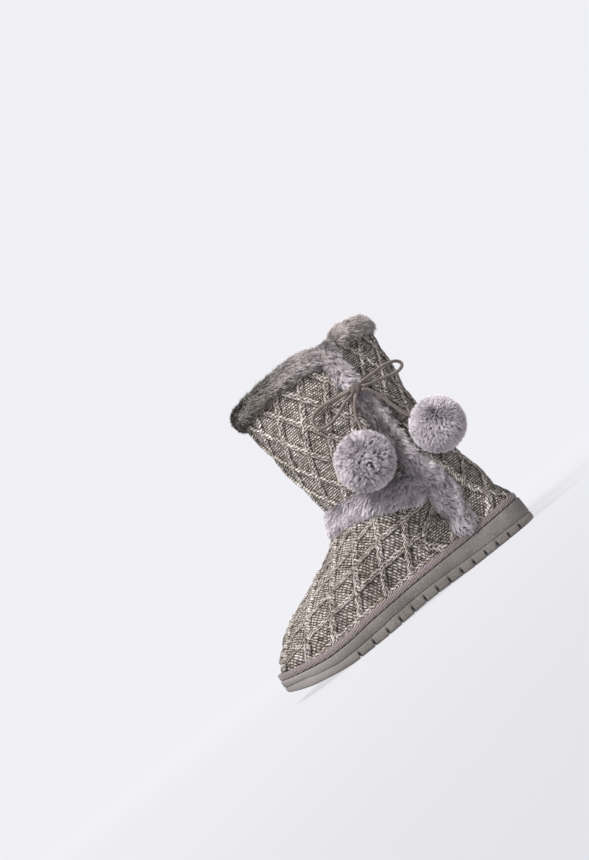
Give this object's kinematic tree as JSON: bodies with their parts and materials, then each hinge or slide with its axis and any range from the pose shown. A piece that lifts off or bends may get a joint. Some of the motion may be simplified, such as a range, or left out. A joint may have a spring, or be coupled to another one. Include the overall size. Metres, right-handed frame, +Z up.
{
  "type": "sweater boot",
  "caption": "Mid-calf knitted boot for the left foot, with fur collar, strips and ankle band, a side tie with pompoms, and a moulded rubber sole.",
  "frame": {"origin": "on the floor, in the middle of the flat lug under the heel", "axes": "+X to the toe, +Y to the outer side of the left boot, +Z up"},
  "size_m": [0.265, 0.1606, 0.2392],
  "materials": {
    "knit": "marled wool knit with crossing cables",
    "fur": "dense short plush fur",
    "sole_rubber": "matt moulded rubber with a fine grain",
    "tape": "twisted cotton tape",
    "cord": "round braided cord",
    "fleece": "dark plush lining"
  },
  "bodies": {
    "root": {"sole": "sole_rubber", "upper": "knit", "insole": "fleece", "welt_cord": "tape", "collar_front": "fur", "collar_back": "fur", "strip_outer": "fur", "strip_inner": "fur", "ankle_band": "fur", "pompom_front": "fur", "pompom_back": "fur", "lace_knot": "cord", "lace_front_loop": "cord", "lace_back_loop": "cord", "lace_front_end": "cord", "lace_back_end": "cord"}
  },
  "joints": []
}
